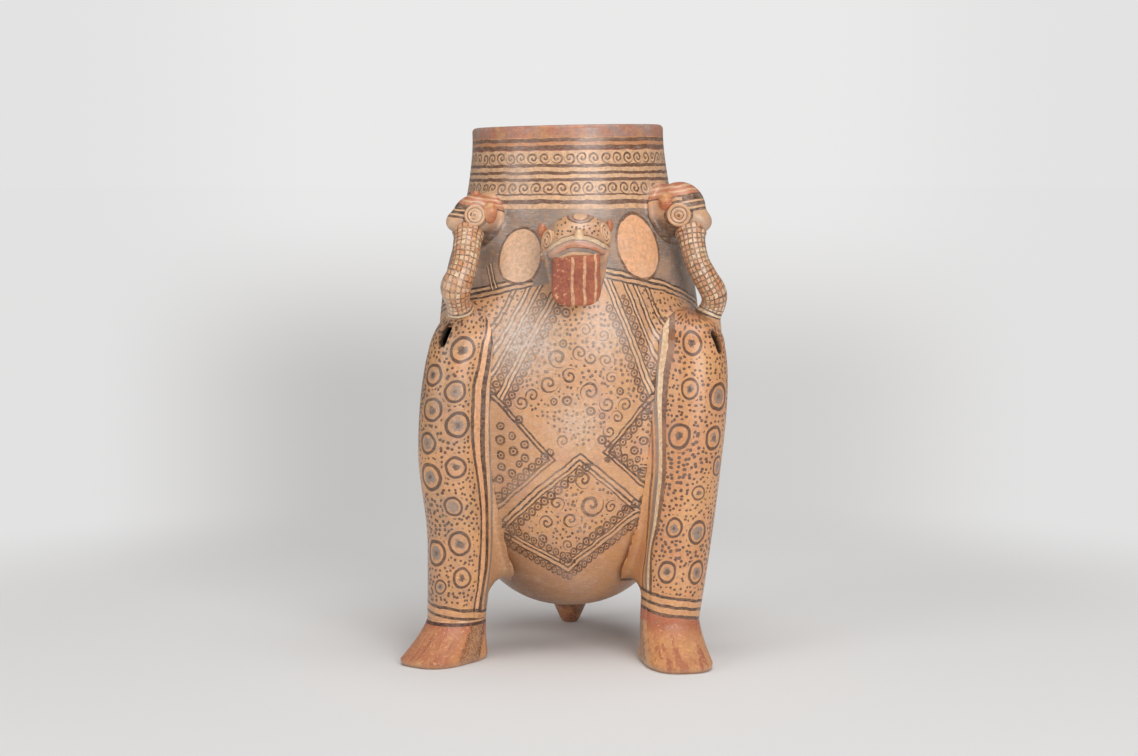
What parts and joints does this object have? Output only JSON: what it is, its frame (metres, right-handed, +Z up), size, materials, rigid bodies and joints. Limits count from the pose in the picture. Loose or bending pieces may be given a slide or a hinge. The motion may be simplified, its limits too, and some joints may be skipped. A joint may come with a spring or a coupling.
{
  "type": "zoomorphic vessel",
  "caption": "Tall-necked earthenware feline effigy jar on hollow rattle legs and a tail cone, with looped arms under shoulder heads and a head with its tongue out.",
  "frame": {"origin": "middle of the bounding box, on the surface that the jar stands on", "axes": "+Z up through the mouth, the feline's face towards -Y, the pieces named left at -X, which is the viewer's left"},
  "size_m": [0.2014, 0.2038, 0.33],
  "materials": {
    "painted_clay": "burnished tan slip with dark painting",
    "cream_slip": "burnished cream slip",
    "red_slip": "burnished red slip",
    "bare_clay": "bare fired clay"
  },
  "bodies": {
    "vessel": {"bowl_body": "painted_clay", "neck_collar": "painted_clay", "rim_coil": "red_slip", "left_leg": "painted_clay", "right_leg": "painted_clay", "left_foot": "red_slip", "right_foot": "red_slip", "tail_support": "painted_clay", "feline_head": "painted_clay", "feline_tongue": "red_slip", "feline_lower_jaw": "cream_slip", "feline_nose": "cream_slip", "feline_left_eye": "cream_slip", "feline_right_eye": "cream_slip", "feline_left_ear": "red_slip", "feline_right_ear": "red_slip", "left_arm": "painted_clay", "right_arm": "painted_clay", "left_shoulder_head": "painted_clay", "right_shoulder_head": "painted_clay", "left_shoulder_snout": "cream_slip", "right_shoulder_snout": "cream_slip", "left_shoulder_front_eye": "cream_slip", "left_shoulder_back_eye": "cream_slip", "right_shoulder_front_eye": "cream_slip", "right_shoulder_back_eye": "cream_slip", "left_shoulder_front_ear": "red_slip", "left_shoulder_back_ear": "red_slip", "right_shoulder_front_ear": "red_slip", "right_shoulder_back_ear": "red_slip"},
    "left_pellet_a": {"left_rattle_pellet_a": "bare_clay"},
    "left_pellet_b": {"left_rattle_pellet_b": "bare_clay"},
    "right_pellet_a": {"right_rattle_pellet_a": "bare_clay"},
    "right_pellet_b": {"right_rattle_pellet_b": "bare_clay"}
  },
  "joints": [
    {"name": "left_rattle_a", "type": "slide", "parent": "vessel", "child": "left_pellet_a", "axis": [-0.0116, -0.0613, 0.9981], "range_m": [0, 0.12]},
    {"name": "left_rattle_b", "type": "slide", "parent": "vessel", "child": "left_pellet_b", "axis": [-0.0116, -0.0613, 0.9981], "range_m": [0, 0.12]},
    {"name": "right_rattle_a", "type": "slide", "parent": "vessel", "child": "right_pellet_a", "axis": [0.09, -0.0005, 0.9959], "range_m": [0, 0.12]},
    {"name": "right_rattle_b", "type": "slide", "parent": "vessel", "child": "right_pellet_b", "axis": [0.09, -0.0005, 0.9959], "range_m": [0, 0.12]}
  ]
}
